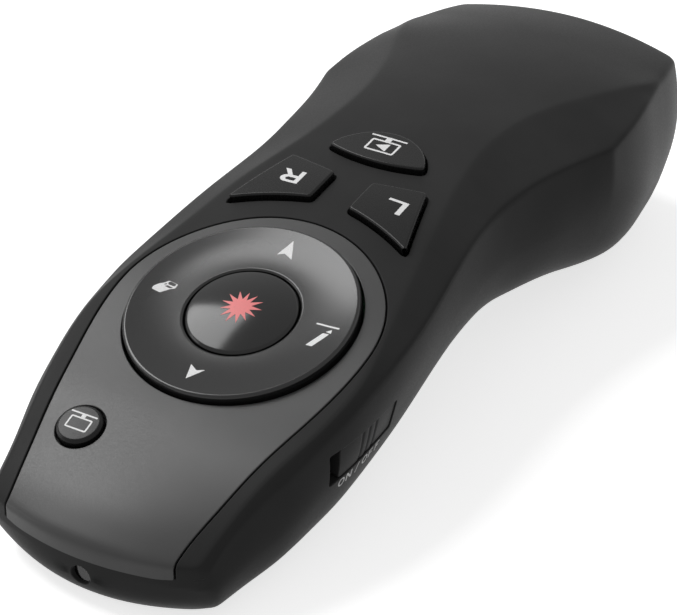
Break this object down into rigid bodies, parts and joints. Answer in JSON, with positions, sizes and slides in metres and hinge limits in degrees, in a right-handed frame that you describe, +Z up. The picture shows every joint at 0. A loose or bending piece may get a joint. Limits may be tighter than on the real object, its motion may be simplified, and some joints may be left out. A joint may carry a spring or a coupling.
{
  "type": "wireless presentation clicker",
  "caption": "Hand-held presentation remote with an arched body, a tilting ring round a laser button, press keys, a side power slider and a sliding battery door.",
  "frame": {"origin": "on the table, under the middle of the body's bounding box", "axes": "+Z up, +Y towards the tail (battery end), +X towards the power slider's side"},
  "size_m": [0.0468, 0.1276, 0.0294],
  "materials": {
    "shell_black": "fine satin",
    "panel_grey": "fine satin",
    "ring_black": "polished",
    "button_black": "polished",
    "key_black": "satin gloss",
    "slider_black": "satin",
    "inner_grey": "moulded",
    "tray_black": "moulded",
    "board_green": "solder mask",
    "chip_black": "moulded",
    "switch_black": "moulded",
    "plunger_red": "moulded",
    "steel": "bright",
    "spring_steel": "bright",
    "brass": "turned",
    "screw_black": "black oxide",
    "cell_wrap": "plain wrapper",
    "lens_clear": "clear",
    "window_smoked": "smoked"
  },
  "bodies": {
    "housing": {"upper_shell": "shell_black", "lower_shell": "shell_black", "key_panel": "panel_grey", "ring_frame": "inner_grey", "battery_tray": "tray_black", "main_board": "board_green", "radio_chip": "chip_black", "control_chip": "chip_black", "crystal": "steel", "board_parts": "chip_black", "nav_switches": "switch_black", "key_switches": "switch_black", "slide_switch": "steel", "laser_barrel": "brass", "laser_lens": "lens_clear", "laser_diode": "brass", "laser_window": "window_smoked", "left_battery": "cell_wrap", "right_battery": "cell_wrap", "battery_springs": "spring_steel", "contact_plates": "steel", "housing_screws": "screw_black"},
    "gimbal": {"ring_gimbal": "inner_grey"},
    "ring": {"nav_ring": "ring_black"},
    "laser_button": {"laser_button": "button_black", "laser_actuator": "plunger_red"},
    "left_key": {"left_key": "key_black", "left_actuator": "plunger_red"},
    "right_key": {"right_key": "key_black", "right_actuator": "plunger_red"},
    "play_key": {"play_key": "key_black", "play_actuator": "plunger_red"},
    "blank_key": {"blank_key": "key_black", "blank_actuator": "plunger_red"},
    "power_slider": {"power_slider": "slider_black", "slide_knob": "switch_black"},
    "battery_door": {"battery_door": "shell_black"}
  },
  "joints": [
    {"name": "ring_pitch", "type": "hinge", "parent": "housing", "child": "gimbal", "pos_m": [0, -0.02717, 0.01874], "axis": [1, 0, 0], "range_deg": [-2, 2], "stiffness_Nm_per_rad": 0.4},
    {"name": "ring_roll", "type": "hinge", "parent": "gimbal", "child": "ring", "pos_m": [0, -0.02717, 0.01874], "axis": [0, 0.9648, 0.2629], "range_deg": [-2, 2], "stiffness_Nm_per_rad": 0.4},
    {"name": "laser_press", "type": "slide", "parent": "housing", "child": "laser_button", "axis": [0, 0.2629, -0.9648], "range_m": [0, 0.0004], "stiffness_N_per_m": 1500, "springref_m": -0.0002},
    {"name": "left_press", "type": "slide", "parent": "housing", "child": "left_key", "axis": [0, 0.1288, -0.9917], "range_m": [0, 0.00045], "stiffness_N_per_m": 1500, "springref_m": -0.0002},
    {"name": "right_press", "type": "slide", "parent": "housing", "child": "right_key", "axis": [0, 0.1288, -0.9917], "range_m": [0, 0.00045], "stiffness_N_per_m": 1500, "springref_m": -0.0002},
    {"name": "play_press", "type": "slide", "parent": "housing", "child": "play_key", "axis": [0, 0.0802, -0.9968], "range_m": [0, 0.00045], "stiffness_N_per_m": 1500, "springref_m": -0.0002},
    {"name": "blank_press", "type": "slide", "parent": "housing", "child": "blank_key", "axis": [0, 0.3173, -0.9483], "range_m": [0, 0.00045], "stiffness_N_per_m": 1500, "springref_m": -0.0002},
    {"name": "power_slide", "type": "slide", "parent": "housing", "child": "power_slider", "axis": [0, -1, 0], "range_m": [0, 0.002]},
    {"name": "door_slide", "type": "slide", "parent": "housing", "child": "battery_door", "axis": [0, 1, 0], "range_m": [0, 0.005]}
  ]
}
